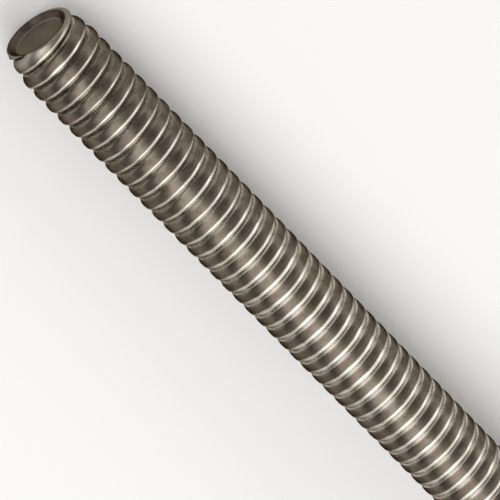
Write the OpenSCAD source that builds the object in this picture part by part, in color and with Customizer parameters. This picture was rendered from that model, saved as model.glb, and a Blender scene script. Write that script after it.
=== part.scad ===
// Fully threaded hex bolt, lying with its axis along X: the head at the left, the tip at the right.
// The origin is the centre of the bearing face under the head. All sizes are in millimetres.

/* [Thread] */
// Outer diameter of the thread, over the crests
thread_d = 6.35; // [5.5:0.05:7.5]
// Distance from one thread to the next
pitch = 1.27; // [0.9:0.01:1.6]
// Length from the bearing face to the tip
shank_l = 63.5; // [20:0.5:100]
// Share of the pitch that the broad crest takes up
crest_share = 0.53; // [0.3:0.01:0.62]
// Share of the pitch that the bottom of the groove takes up
root_share = 0.07; // [0.04:0.01:0.14]
// Angle about the axis at which the thread starts
thread_start = 108; // [0:1:359]

/* [Neck] */
// Length of the plain neck under the head
neck_l = 2.1; // [1.8:0.1:3.5]
// Fillet between the neck and the bearing face
neck_fillet = 0.3; // [0.15:0.05:0.4]

/* [Head] */
// Width across two opposite flats of the head
head_af = 11.11; // [9.5:0.01:14]
// Height of the head, with its washer face
head_h = 3.97; // [3:0.01:6]
// How far the washer face lies inside the flats
washer_inset = 0.3; // [0.15:0.05:0.6]
// Height of the washer face
washer_h = 0.38; // [0.2:0.01:0.6]
// How far the edge of the round top lies inside the flats
top_inset = 0.25; // [0.1:0.05:0.6]
// Angle of the top chamfer from the flat top
top_chamfer = 30; // [20:1:40]

/* [Tip] */
// How far the first crest lies inside the full ones
first_drop = 0.4; // [0.2:0.02:0.46]
// Length over which the first crests grow to their full height
first_l = 2; // [1:0.1:5]
// How far the edge of the end lies inside the full crests
end_drop = 0.72; // [0.52:0.02:1]
// Length of the chamfer on the end
end_chamfer_l = 0.9; // [0.4:0.05:1.2]
// Lean of the end, which isn't sheared off quite square
end_lean = 11; // [0:0.5:12]
// Angle about the axis towards which the end leans
end_turn = 301; // [0:1:359]
// Width of the rim around the hollow that rolling leaves in the end
end_rim = 0.25; // [0.2:0.05:0.6]
// Depth of that hollow
end_hollow = 0.4; // [0.1:0.05:0.6]

/* [Hidden] */

// Thread form: a narrow groove with straight 60 degree flanks between broad flat crests.
crest_flat = crest_share * pitch;
root_flat = root_share * pitch;
flank_w = (pitch - crest_flat - root_flat) / 2;
r_crest = thread_d / 2;
r_root = r_crest - flank_w / tan(30);
r_neck = (r_crest + r_root) / 2;
r_first = r_crest - first_drop;
r_end = r_crest - end_drop;

// The thread is one ribbon wound about the axis. It starts inside the neck at a plain core,
// grows to its full height over the fade, and runs out past the tip, where the point trims it.
core_step = 0.08;
r_core = r_neck - core_step;
fade_l = 0.8 * pitch;
ribbon_z = neck_l - 1.2 * pitch;
turns = ceil((shank_l - ribbon_z) / pitch);

// One pitch of the thread's section: height above the start of the root, and radius.
section = [
    [0, r_root],
    [root_flat, r_root],
    [root_flat + flank_w, r_crest],
    [root_flat + flank_w + crest_flat, r_crest]
];
corners = len(section);

// Steps around one turn: fewer on a long thread, so that the whole thread keeps to its facets.
facets = 11000;
steps = min(24, floor(facets / (2 * corners * turns)));
last = turns * steps;

// Share of the full thread at a height: none in the neck, all of it past the fade.
function grown(z) = min(1, max(0, (z - neck_l) / fade_l));

// Point number i along the ribbon, on corner k of the section.
function ribbon_point(i, k) =
    let (
        turn = thread_start + 360 * i / steps,
        z = ribbon_z + pitch * i / steps + section[k][0],
        r = r_core + (section[k][1] - r_core) * grown(z)
    )
    [r * cos(turn), r * sin(turn), z];

// Index of a point: after the last corner of the section comes the first corner of the next turn.
function index(i, k) = k < corners ? i * corners + k : (i + steps) * corners;

module threaded_rod() {
    points = concat(
        [for (i = [0 : last + steps - 1], k = [0 : corners - 1]) ribbon_point(i, k)],
        [ribbon_point(last + steps, 0)],
        [[0, 0, ribbon_z], [0, 0, ribbon_z + pitch * (turns + 1)]]
    );
    foot = len(points) - 2;
    top = len(points) - 1;
    ribbon = [
        for (i = [0 : last - 1], k = [0 : corners - 1])
            each [
                [index(i, k), index(i, k + 1), index(i + 1, k)],
                [index(i + 1, k), index(i, k + 1), index(i + 1, k + 1)]
            ]
    ];
    foot_cap = concat(
        [for (i = [0 : steps - 1]) [foot, index(i, 0), index(i + 1, 0)]],
        [for (k = [0 : corners - 1]) [foot, index(0, k + 1), index(0, k)]]
    );
    top_cap = concat(
        [for (i = [last : last + steps - 1]) [top, index(i + 1, 0), index(i, 0)]],
        [for (k = [0 : corners - 1]) [top, index(last, k), index(last, k + 1)]]
    );
    polyhedron(points, concat(ribbon, foot_cap, top_cap));
}

// Turned envelope of the tip: the chamfer on the end, then the slow growth of the first crests.
// It stays clear of the crests everywhere else.
module tip_envelope() {
    clear = 0.5;
    grow_l = first_l * (first_drop + clear) / first_drop;
    rotate_extrude($fn = 96)
        polygon([
            [0, 0],
            [r_crest + clear, 0],
            [r_crest + clear, shank_l - end_chamfer_l - grow_l],
            [r_first, shank_l - end_chamfer_l],
            [r_end, shank_l],
            [0, shank_l]
        ]);
}

// What the shear takes off in front of the leaning end, with the shallow hollow in the end.
module end_cut() {
    r_rim = r_end - end_rim;
    translate([0, 0, shank_l - r_end * tan(end_lean)])
        rotate([0, 0, end_turn])
            rotate([end_lean, 0, 0])
                rotate_extrude($fn = 96)
                    polygon([
                        [0, -end_hollow],
                        [r_rim - end_hollow, -end_hollow],
                        [r_rim, 0],
                        [thread_d, 0],
                        [thread_d, thread_d],
                        [0, thread_d]
                    ]);
}

// Hexagon lying on one flat, its top corners turned off by the chamfer.
module hexagon() {
    r_top = head_af / 2 - top_inset;
    intersection() {
        translate([0, 0, -head_h])
            rotate([0, 0, 30])
                cylinder(h = head_h - washer_h, d = head_af / cos(30), $fn = 6);
        rotate_extrude($fn = 96)
            polygon([
                [0, -head_h],
                [r_top, -head_h],
                [head_af, -head_h + (head_af - r_top) * tan(top_chamfer)],
                [head_af, 0],
                [0, 0]
            ]);
    }
}

// Washer face under the hexagon, and the neck that runs into it with a fillet.
module washer_face_and_neck() {
    r_washer = head_af / 2 - washer_inset;
    r_fillet = r_neck + neck_fillet;
    rotate_extrude($fn = 96)
        difference() {
            polygon([
                [0, -head_h / 2],
                [r_washer, -head_h / 2],
                [r_washer, 0],
                [r_fillet, 0],
                [r_fillet, neck_fillet],
                [r_neck, neck_fillet],
                [r_neck, neck_l],
                [0, neck_l]
            ]);
            translate([r_fillet, neck_fillet])
                circle(r = neck_fillet, $fn = 48);
        }
}

module bolt() {
    color([0.62, 0.58, 0.53])
        rotate([0, 90, 0]) {
            hexagon();
            washer_face_and_neck();
            difference() {
                intersection() {
                    threaded_rod();
                    tip_envelope();
                }
                end_cut();
            }
        }
}

bolt();
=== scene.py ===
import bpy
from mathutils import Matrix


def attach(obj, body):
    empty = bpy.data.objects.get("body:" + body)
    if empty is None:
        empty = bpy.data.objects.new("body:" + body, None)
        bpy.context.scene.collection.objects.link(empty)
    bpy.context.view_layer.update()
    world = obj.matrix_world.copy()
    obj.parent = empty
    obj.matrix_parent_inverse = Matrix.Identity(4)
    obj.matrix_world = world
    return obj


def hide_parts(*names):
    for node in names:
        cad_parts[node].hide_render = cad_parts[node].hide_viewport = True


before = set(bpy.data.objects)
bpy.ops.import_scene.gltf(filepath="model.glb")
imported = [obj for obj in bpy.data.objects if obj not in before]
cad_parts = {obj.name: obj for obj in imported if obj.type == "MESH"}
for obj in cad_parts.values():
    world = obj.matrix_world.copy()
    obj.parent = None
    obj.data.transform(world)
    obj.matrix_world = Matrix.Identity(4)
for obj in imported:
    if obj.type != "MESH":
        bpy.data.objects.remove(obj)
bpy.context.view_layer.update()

import math

import bmesh
import bpy
from mathutils import Matrix, Vector


# Head, washer face and neck of the bolt, all of one cold-headed steel blank.
# One half section is turned about the axis, and its two widest rings are then pressed out
# to the hexagon, so that the top chamfer meets the flats in the usual round arcs.
MM = 0.001
HAIR = 1e-4
WELD = 1e-5
TURN_STEPS = 96
HEAD_AF = 11.11
HEAD_H = 3.97
HEAD_EDGE = 0.12
HEAD_EDGE_ANGLE = math.radians(20)
WASHER_INSET = 0.3
WASHER_H = 0.38
TOP_INSET = 0.25
TOP_CHAMFER = math.radians(30)
THREAD_D = 6.35
PITCH = 1.27
CREST_FLAT = 0.53 * PITCH
ROOT_FLAT = 0.07 * PITCH
FLANK_ANGLE = math.radians(30)
NECK_L = 2.1
NECK_FILLET = 0.3
NECK_STEPS = 8
NECK_GAP = 0.15

flank_w = (PITCH - CREST_FLAT - ROOT_FLAT) / 2
r_crest = THREAD_D / 2
r_root = r_crest - flank_w / math.tan(FLANK_ANGLE)
r_neck = (r_crest + r_root) / 2
r_top = HEAD_AF / 2 - TOP_INSET
r_washer = HEAD_AF / 2 - WASHER_INSET
r_corner = HEAD_AF / 2 / math.cos(math.radians(30))


def turned_vert(bm, x, r, turn=0.0):
    return bm.verts.new((x, r * math.cos(turn), r * math.sin(turn)))


def chain(bm, verts):
    return [bm.edges.new(pair) for pair in zip(verts, verts[1:])]


def radius(co):
    return math.hypot(co.y, co.z)


def hexagon_radius(co):
    from_flat = (math.atan2(co.z, co.y) % math.radians(60)) - math.radians(30)
    return HEAD_AF / 2 / math.cos(from_flat)


bolt_bm = bmesh.new()
outline = [
    (-HEAD_H, 0), (-HEAD_H, r_top), (-HEAD_H / 2, r_corner), (-WASHER_H, r_corner),
    (-WASHER_H, r_washer), (0, r_washer),
]
for i in range(NECK_STEPS + 1):
    a = math.radians(90) * i / NECK_STEPS
    outline.append((NECK_FILLET * (1 - math.cos(a)), r_neck + NECK_FILLET * (1 - math.sin(a))))
outline.append((NECK_L - NECK_GAP, r_neck))
section = [turned_vert(bolt_bm, x, r) for x, r in outline]
edges = chain(bolt_bm, section)
bmesh.ops.spin(bolt_bm, geom=section + edges, cent=(0, 0, 0), axis=(1, 0, 0),
               angle=2 * math.pi, steps=TURN_STEPS, use_merge=True)
bmesh.ops.remove_doubles(bolt_bm, verts=bolt_bm.verts, dist=WELD)
for v in bolt_bm.verts:
    if radius(v.co) > r_corner - HAIR:
        r_hex = hexagon_radius(v.co)
        if v.co.x < -WASHER_H - HAIR:
            v.co.x = -HEAD_H + (r_hex - r_top) * math.tan(TOP_CHAMFER)
        v.co.y, v.co.z = (c * r_hex / radius(v.co) for c in (v.co.y, v.co.z))
bmesh.ops.recalc_face_normals(bolt_bm, faces=bolt_bm.faces)
bolt_bm.normal_update()
head_edges = [
    e for e in bolt_bm.edges
    if e.is_manifold and e.calc_face_angle() > HEAD_EDGE_ANGLE
    and max(v.co.x for v in e.verts) > -HEAD_H + HAIR
    and all(v.co.x < -WASHER_H + HAIR and radius(v.co) > r_washer + HAIR for v in e.verts)
]
bmesh.ops.bevel(bolt_bm, geom=head_edges, offset=HEAD_EDGE, offset_type="OFFSET", segments=3,
                profile=0.5, affect="EDGES", clamp_overlap=True, material=-1)

# Rolled thread of the whole shank: one pitch of its section, a broad round crest with a narrow
# sharp groove on either side, wound along the axis as a right-hand screw. It fades out into the
# neck. Towards the tip the grooves are deeper, and the first crests are not yet full.
SHANK_L = 63.5
THREAD_START = math.radians(18)
RIBBON_LEAD = 1.2 * PITCH
WIND_STEPS = 72
ARC_STEPS = 8
CREST_TOP = 0.2
CREST_ROUND = 0.85
GROOVE_W = 0.28
GROOVE_ROOT = 0.03
FADE_L = 0.8 * PITCH
FIRST_DROP = 0.4
FIRST_L = 2.0
FIRST_DEEPER = 1.3
DEEPER_L = 26.0
END_DROP = 0.72
END_CHAMFER_L = 0.9
END_GROOVE = 0.08

r_end = r_crest - END_DROP
first_crest_x = NECK_L - RIBBON_LEAD + ROOT_FLAT + flank_w + CREST_FLAT / 2


def crest_turn(x):
    return THREAD_START + 2 * math.pi * (x - first_crest_x) / PITCH


def thread_radius(x, r):
    from_end = max(0, SHANK_L - x)
    grown = min(1, max(0, (x - NECK_L) / FADE_L))
    drop = FIRST_DROP * max(0, 1 - max(0, from_end - END_CHAMFER_L) / FIRST_L)
    deeper = 1 + FIRST_DEEPER * max(0, 1 - from_end / DEEPER_L)
    chamfer_r = r_end + (END_DROP - FIRST_DROP) * from_end / END_CHAMFER_L
    cut_r = max(r_crest - drop - (r_crest - r) * deeper, r_end - END_GROOVE)
    return min(r_neck + (cut_r - r_neck) * grown, chamfer_r)


slope = math.asin((PITCH - CREST_TOP - GROOVE_W) / 2 / CREST_ROUND)
half_section = [(0, r_crest)]
for i in range(ARC_STEPS + 1):
    a = slope * i / ARC_STEPS
    half_section.append((CREST_TOP / 2 + CREST_ROUND * math.sin(a),
                         r_crest - CREST_ROUND * (1 - math.cos(a))))
groove_depth = (GROOVE_W - GROOVE_ROOT) / 2 / math.tan(FLANK_ANGLE)
half_section.append(((PITCH - GROOVE_ROOT) / 2, half_section[-1][1] - groove_depth))
pitch_section = [(PITCH / 2 - x, r) for x, r in reversed(half_section)]
pitch_section += [(PITCH / 2 + x, r) for x, r in half_section[1:]]
pitch_section.append((PITCH + pitch_section[0][0], pitch_section[0][1]))

thread_bm = bmesh.new()
start_x = NECK_L - PITCH
start_turn = crest_turn(start_x + PITCH / 2)
chain(thread_bm, [turned_vert(thread_bm, start_x + x, r, start_turn) for x, r in pitch_section])
pitch_mesh = bpy.data.meshes.new("pitch_section")
thread_bm.to_mesh(pitch_mesh)
winding = bpy.data.objects.new("winding", pitch_mesh)
bpy.context.scene.collection.objects.link(winding)
screw = winding.modifiers.new("screw", "SCREW")
screw.axis = "X"
screw.angle = 2 * math.pi
screw.screw_offset = PITCH
screw.iterations = math.ceil((SHANK_L - start_x) / PITCH) + 1
screw.steps = screw.render_steps = WIND_STEPS
screw.use_merge_vertices = True
screw.merge_threshold = HAIR
wound_mesh = winding.evaluated_get(bpy.context.evaluated_depsgraph_get()).to_mesh()
thread_bm.clear()
thread_bm.from_mesh(wound_mesh)
bpy.data.objects.remove(winding)
bpy.data.meshes.remove(pitch_mesh)
bmesh.ops.remove_doubles(thread_bm, verts=thread_bm.verts, dist=HAIR)
for v in thread_bm.verts:
    r = radius(v.co)
    r_new = thread_radius(v.co.x, r)
    v.co.y, v.co.z = v.co.y * r_new / r, v.co.z * r_new / r

# End of the bolt: sheared some degrees out of square, with the shallow hollow that thread
# rolling leaves inside its narrow rim. The wound thread is cut off at the end's plane, and the
# hollow is turned, tipped to that plane and bridged to the cut.
END_LEAN = math.radians(11)
END_TURN = math.radians(301)
END_INSET = 0.001
END_RIM = 0.12
END_HOLLOW = 0.4
HOLLOW_SLOPE = math.radians(45)
HOLLOW_FILLET = 0.35
HOLLOW_STEPS = 6

r_rim = r_end - END_RIM
end_centre = Vector((SHANK_L - END_INSET - r_end * math.tan(END_LEAN), 0, 0))
end_turned = Matrix.Rotation(END_TURN, 3, "X") @ Matrix.Rotation(-END_LEAN, 3, "Z")


def cut(bm, point, normal):
    sides = bm.verts[:] + bm.edges[:] + bm.faces[:]
    bmesh.ops.bisect_plane(bm, geom=sides, dist=WELD, plane_co=point, plane_no=normal,
                           clear_outer=True)


cut(thread_bm, (NECK_L, 0, 0), (-1, 0, 0))
cut(thread_bm, end_centre, end_turned @ Vector((1, 0, 0)))
hollow_outline = [(-END_HOLLOW, 0), (-END_HOLLOW, (r_rim - END_HOLLOW) / 2)]
r_fillet = r_rim - END_HOLLOW - HOLLOW_FILLET * math.tan(HOLLOW_SLOPE / 2)
for i in range(HOLLOW_STEPS + 1):
    a = HOLLOW_SLOPE * i / HOLLOW_STEPS
    hollow_outline.append((-END_HOLLOW + HOLLOW_FILLET * (1 - math.cos(a)),
                           r_fillet + HOLLOW_FILLET * math.sin(a)))
hollow_outline.append((0, r_rim))
hollow = [turned_vert(thread_bm, x, r) for x, r in hollow_outline]
hollow_edges = chain(thread_bm, hollow)
kept = set(thread_bm.verts) - set(hollow)
bmesh.ops.spin(thread_bm, geom=hollow + hollow_edges, cent=(0, 0, 0), axis=(1, 0, 0),
               angle=2 * math.pi, steps=TURN_STEPS, use_merge=True)
hollow = [v for v in thread_bm.verts if v not in kept]
bmesh.ops.remove_doubles(thread_bm, verts=hollow, dist=WELD)
hollow = [v for v in thread_bm.verts if v not in kept]
bmesh.ops.rotate(thread_bm, verts=hollow, cent=(0, 0, 0), matrix=end_turned)
bmesh.ops.translate(thread_bm, verts=hollow, vec=end_centre)
rim_edges = [e for e in thread_bm.edges if e.is_boundary and e.verts[0].co.x > SHANK_L / 2]
bmesh.ops.bridge_loops(thread_bm, edges=rim_edges)
bmesh.ops.recalc_face_normals(thread_bm, faces=thread_bm.faces)

# The whole bolt, one piece of steel: the shank is joined to the neck, so that head, neck, thread
# and end are one closed skin. Its creases stay sharp, and its sizes become metres.
CREASE_ANGLE = math.radians(26)

shank_mesh = bpy.data.meshes.new("shank")
thread_bm.to_mesh(shank_mesh)
thread_bm.free()
bolt_bm.from_mesh(shank_mesh)
bpy.data.meshes.remove(shank_mesh)
open_edges = [e for e in bolt_bm.edges if e.is_boundary]
bmesh.ops.bridge_loops(bolt_bm, edges=open_edges)
bmesh.ops.recalc_face_normals(bolt_bm, faces=bolt_bm.faces)
bmesh.ops.scale(bolt_bm, vec=(MM, MM, MM), verts=bolt_bm.verts)
bolt_mesh = bpy.data.meshes.new("threaded_bolt")
bolt_bm.to_mesh(bolt_mesh)
bolt_bm.free()
bolt_mesh.shade_smooth()
bolt_mesh.set_sharp_from_angle(angle=CREASE_ANGLE)
bolt = bpy.data.objects.new("threaded_bolt", bolt_mesh)
bpy.context.scene.collection.objects.link(bolt)

# Bare steel of the bolt. The grooves are bright and the crests have a browner and duller skin. The
# shoulders that face the head are painted lighter and those that face the tip painted darker, a
# painted highlight and painted shade on one shoulder steel, and the crests' brown is stretched over
# the tip-facing shoulders as painted shade too. Fine streaks run round the shank, and the head and
# the end are blotched.
CREST_BROWN = (0.205, 0.174, 0.140, 1)
CREST_DARK = (0.138, 0.112, 0.088, 1)
# One shoulder steel in two copies: painted shade on the tip-facing side, painted light on the
# head-facing side.
SHOULDER_PAINTED_SHADE = (0.200, 0.174, 0.144, 1)
SHOULDER_PAINTED_LIGHT = (0.66, 0.615, 0.54, 1)
GROOVE_BRIGHT = (0.65, 0.615, 0.56, 1)
CHAMFER_STEEL = (0.39, 0.353, 0.305, 1)
END_DULL = (0.25, 0.210, 0.174, 1)
# Painted shade: the sloping wall of the end's hollow is coloured darker than its floor.
END_WALL_PAINTED_SHADE = (0.125, 0.098, 0.078, 1)
HEAD_STEEL = (0.42, 0.385, 0.335, 1)
MARK_SHADE = (0.62, 0.60, 0.58, 1)
GRAZING_TINT = (0.14, 0.11, 0.08, 1)
# Scales of the patterns, and the range that their values mostly keep to.
STREAK_SQUEEZE = 5000.0
STREAK_SCALE = 2.2
BLOTCH_SCALE = 900.0
WANDER_SCALE = 450.0
GRAIN_SCALE = 9000.0
FINE_DETAIL = 4.0
FINE_ROUGHNESS = 0.6
PATTERN_LOW, PATTERN_HIGH = 0.3, 0.7
BLOTCH_LOW, BLOTCH_HIGH = 0.35, 0.68
# Places within one pitch, as shares of it: the crest is at one half, the tip's side above it.
CREST_AT = 0.5
SIDE_BLEND = 0.03
# The brown skin is centred past the crest towards the tip, so that it also lays painted shade over the
# shoulders that face the tip.
SKIN_AND_SHADE_AT = 0.56
SKIN_AND_SHADE_WANDER = 0.25
SKIN_AND_SHADE_FULL, SKIN_AND_SHADE_GONE = 0.18, 0.30
GROOVE_BLEND = 0.02
# Places on the bolt, in millimetres, where one tone runs into the next.
HEAD_TONE_FROM, HEAD_TONE_TO = 0.4, 1.6
CHAMFER_BLEND = 0.7
END_TONE_IN, END_TONE_OUT = 0.05, 0.02
WALL_FROM, WALL_TO = 0.42, 0.3
# Depth of the marks, and the polish.
MARK_SHARE = 0.35
POLISHED, WORN = 0.24, 0.31
DULLER = 0.10
RELIEF = 0.09
RELIEF_DEPTH = 0.02
MARK_RELIEF, GRAIN_RELIEF = 0.8, 0.15

steel = bpy.data.materials.new("rolled_steel")
steel.use_nodes = True
nodes = steel.node_tree.nodes
links = steel.node_tree.links
shader = nodes["Principled BSDF"]


def node(kind, **settings):
    made = nodes.new("ShaderNode" + kind)
    for name, value in settings.items():
        setattr(made, name, value)
    return made


def feed(value, socket):
    if isinstance(value, bpy.types.NodeSocket):
        links.new(value, socket)
    else:
        socket.default_value = value


def sums(operation, *values):
    made = node("Math", operation=operation)
    for value, socket in zip(values, made.inputs):
        feed(value, socket)
    return made.outputs[0]


def ranged(value, low, high, to_low, to_high):
    made = node("MapRange", interpolation_type="SMOOTHSTEP")
    for item, socket in zip((value, low, high, to_low, to_high), made.inputs):
        feed(item, socket)
    return made.outputs[0]


def mixed(factor, first, second, blend="MIX"):
    made = node("Mix", data_type="RGBA", blend_type=blend)
    feed(factor, made.inputs[0])
    feed(first, made.inputs[6])
    feed(second, made.inputs[7])
    return made.outputs[2]


def mottle(vector, scale, detail=3.0, roughness=0.55):
    made = node("TexNoise")
    feed(vector, made.inputs["Vector"])
    feed(scale, made.inputs["Scale"])
    feed(detail, made.inputs["Detail"])
    feed(roughness, made.inputs["Roughness"])
    return made.outputs["Fac"]


place = node("TexCoord").outputs["Object"]
split = node("SeparateXYZ")
feed(place, split.inputs[0])
along, across, up = split.outputs
from_axis = sums("SQRT", sums("ADD", sums("MULTIPLY", across, across), sums("MULTIPLY", up, up)))
round_place = node("CombineXYZ")
feed(sums("MULTIPLY", along, STREAK_SQUEEZE), round_place.inputs[0])
feed(sums("DIVIDE", across, from_axis), round_place.inputs[1])
feed(sums("DIVIDE", up, from_axis), round_place.inputs[2])
streaks = mottle(round_place.outputs[0], STREAK_SCALE, FINE_DETAIL, FINE_ROUGHNESS)
blotches = mottle(place, BLOTCH_SCALE)
grain = mottle(place, GRAIN_SCALE, FINE_DETAIL, FINE_ROUGHNESS)

crest_shift = THREAD_START / (2 * math.pi) - first_crest_x / PITCH + CREST_AT
turns = sums("DIVIDE", sums("ARCTAN2", up, across), 2 * math.pi)
pitches = sums("SUBTRACT", sums("DIVIDE", along, PITCH * MM), turns)
in_pitch = sums("FRACT", sums("ADD", pitches, crest_shift))
off_crest = sums("ABSOLUTE", sums("SUBTRACT", in_pitch, CREST_AT))
wander = sums("MULTIPLY", sums("SUBTRACT", mottle(place, WANDER_SCALE), 0.5), SKIN_AND_SHADE_WANDER)
# Mask of the crests' brown skin, which reaches over the tip-facing shoulders as painted shade.
off_skin_and_shade = sums("ABSOLUTE", sums("ADD", sums("SUBTRACT", in_pitch, SKIN_AND_SHADE_AT), wander))
skin_and_painted_shade = ranged(off_skin_and_shade, SKIN_AND_SHADE_FULL, SKIN_AND_SHADE_GONE, 1.0, 0.0)
groove_at = CREST_AT - GROOVE_W / PITCH / 2
groove = ranged(off_crest, groove_at - GROOVE_BLEND, groove_at + GROOVE_BLEND, 0.0, 1.0)
# Head-facing shoulders take the painted light, tip-facing shoulders the painted shade.
shaded_tip_side = ranged(in_pitch, CREST_AT - SIDE_BLEND, CREST_AT + SIDE_BLEND, 0.0, 1.0)
brown = mixed(ranged(blotches, BLOTCH_LOW, BLOTCH_HIGH, 0.0, 1.0), CREST_DARK, CREST_BROWN)
tone = mixed(skin_and_painted_shade, mixed(shaded_tip_side, SHOULDER_PAINTED_LIGHT, SHOULDER_PAINTED_SHADE), brown)
tone = mixed(groove, tone, GROOVE_BRIGHT)

chamfer_x = SHANK_L - END_CHAMFER_L
chamfer = ranged(along, (chamfer_x - CHAMFER_BLEND) * MM, chamfer_x * MM, 0.0, 1.0)
tone = mixed(chamfer, tone, CHAMFER_STEEL)
# Painted shade on the hollow's wall, darker than the end's floor.
hollow_wall_shade = ranged(from_axis, (r_rim - WALL_FROM) * MM, (r_rim - WALL_TO) * MM, 0.0, 1.0)
in_end = ranged(from_axis, (r_end - END_TONE_IN) * MM, (r_end + END_TONE_OUT) * MM, 1.0, 0.0)
tone = mixed(in_end, tone, mixed(hollow_wall_shade, END_DULL, END_WALL_PAINTED_SHADE))
in_head = ranged(along, HEAD_TONE_FROM * MM, HEAD_TONE_TO * MM, 1.0, 0.0)
tone = mixed(in_head, tone, HEAD_STEEL)

flat_face = sums("MAXIMUM", in_head, in_end)
marks = sums("ADD", streaks, sums("MULTIPLY", flat_face, sums("SUBTRACT", blotches, streaks)))
marked = ranged(marks, PATTERN_LOW, PATTERN_HIGH, 0.0, MARK_SHARE)
feed(mixed(marked, tone, mixed(1.0, tone, MARK_SHADE, "MULTIPLY")), shader.inputs["Base Color"])
dull = sums("MAXIMUM", skin_and_painted_shade, sums("MAXIMUM", chamfer, in_head))
polish = ranged(grain, PATTERN_LOW, PATTERN_HIGH, POLISHED, WORN)
feed(sums("ADD", sums("MULTIPLY", dull, DULLER), polish), shader.inputs["Roughness"])
relief = node("Bump")
feed(RELIEF, relief.inputs["Strength"])
feed(RELIEF_DEPTH * MM, relief.inputs["Distance"])
feed(sums("ADD", sums("MULTIPLY", marks, MARK_RELIEF), sums("MULTIPLY", grain, GRAIN_RELIEF)),
     relief.inputs["Height"])
links.new(relief.outputs["Normal"], shader.inputs["Normal"])
shader.inputs["Metallic"].default_value = 1.0
shader.inputs["Specular Tint"].default_value = GRAZING_TINT
bolt_mesh.materials.append(steel)
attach(bolt, "root")
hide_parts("bolt")

# Floor of white paper. The bolt lies on one flat of its head and on the crests at the tip,
# so the floor is tilted a little against its axis.
FLOOR_SIZE = 3.0
PAPER_WHITE = (0.88, 0.88, 0.88, 1)
PAPER_ROUGHNESS = 0.9

rest_x = -WASHER_H * MM
tilt = math.asin((HEAD_AF / 2 - r_crest) / SHANK_L)
floor_mesh = bpy.data.meshes.new("floor")
floor_bm = bmesh.new()
bmesh.ops.create_grid(floor_bm, x_segments=1, y_segments=1, size=FLOOR_SIZE)
bmesh.ops.rotate(floor_bm, verts=floor_bm.verts, cent=(0, 0, 0),
                 matrix=Matrix.Rotation(-tilt, 3, "Y"))
bmesh.ops.translate(floor_bm, verts=floor_bm.verts, vec=(rest_x, 0, -HEAD_AF / 2 * MM))
floor_bm.to_mesh(floor_mesh)
floor_bm.free()
floor = bpy.data.objects.new("floor", floor_mesh)
bpy.context.scene.collection.objects.link(floor)
paper = bpy.data.materials.new("white_paper")
paper.use_nodes = True
paper_shader = paper.node_tree.nodes["Principled BSDF"]
paper_shader.inputs["Base Color"].default_value = PAPER_WHITE
paper_shader.inputs["Roughness"].default_value = PAPER_ROUGHNESS
floor_mesh.materials.append(paper)

# Soft studio light: two long strips above the bolt, one on either side of the camera, which draw
# the two bright bands along it, a wide dim panel overhead, a panel behind the head that lights
# the shoulders facing it, and a dim room.
AIM = Vector((40.0103, -0.0723, 0.0084)) * MM
ROOM = (0.072, 0.061, 0.050, 1)


def soft_box(name, direction, distance, size_x, size_y, level):
    light = bpy.data.lights.new(name, "AREA")
    light.shape = "RECTANGLE"
    light.size, light.size_y = size_x, size_y
    light.energy = level * math.pi * size_x * size_y
    box = bpy.data.objects.new(name, light)
    bpy.context.scene.collection.objects.link(box)
    out = Vector(direction).normalized()
    side = Vector((0, 1, 0)).cross(out) if abs(out.x) > 0.5 else Vector((1, 0, 0))
    side = (side - out * side.dot(out)).normalized()
    turned = Matrix((side, out.cross(side), out)).transposed().to_4x4()
    box.matrix_world = Matrix.Translation(AIM + out * distance) @ turned


soft_box("strip_near", direction=(0, 0.515, 0.857), distance=0.5, size_x=2.0, size_y=0.38, level=1.9)
soft_box("strip_far", direction=(0, -0.914, 0.407), distance=0.5, size_x=2.0, size_y=0.28, level=0.95)
soft_box("ceiling", direction=(0, 0.115, 0.993), distance=0.45, size_x=2.0, size_y=1.6, level=0.20)
soft_box("head_panel", direction=(-0.88, -0.05, 0.475), distance=0.6, size_x=0.55, size_y=1.6, level=1.1)
world = bpy.data.worlds.new("room")
world.use_nodes = True
world.node_tree.nodes["Background"].inputs["Color"].default_value = ROOM
bpy.context.scene.world = world
bpy.context.scene.view_settings.view_transform = "Standard"

# Camera of the photograph: a long lens that looks steeply down, turned until the tip is at the
# upper left of the frame.
CAMERA_AZIMUTH = math.radians(17.525)
CAMERA_ELEVATION = math.radians(68.982)
CAMERA_ROLL = math.radians(-116.919)
CAMERA_DISTANCE = 0.27836
CAMERA_LENS = 274.40
SENSOR_W = 36
NEAREST = 0.01

towards = Vector((math.cos(CAMERA_ELEVATION) * math.cos(CAMERA_AZIMUTH),
                  math.cos(CAMERA_ELEVATION) * math.sin(CAMERA_AZIMUTH),
                  math.sin(CAMERA_ELEVATION)))
camera = bpy.data.objects.new("camera", bpy.data.cameras.new("camera"))
bpy.context.scene.collection.objects.link(camera)
camera.data.sensor_width = SENSOR_W
camera.data.lens = CAMERA_LENS
camera.data.clip_start = NEAREST
upright = (-towards).to_track_quat("-Z", "Y").to_matrix().to_4x4()
rolled = upright @ Matrix.Rotation(-CAMERA_ROLL, 4, "Z")
camera.matrix_world = Matrix.Translation(AIM + towards * CAMERA_DISTANCE) @ rolled
bpy.context.scene.camera = camera
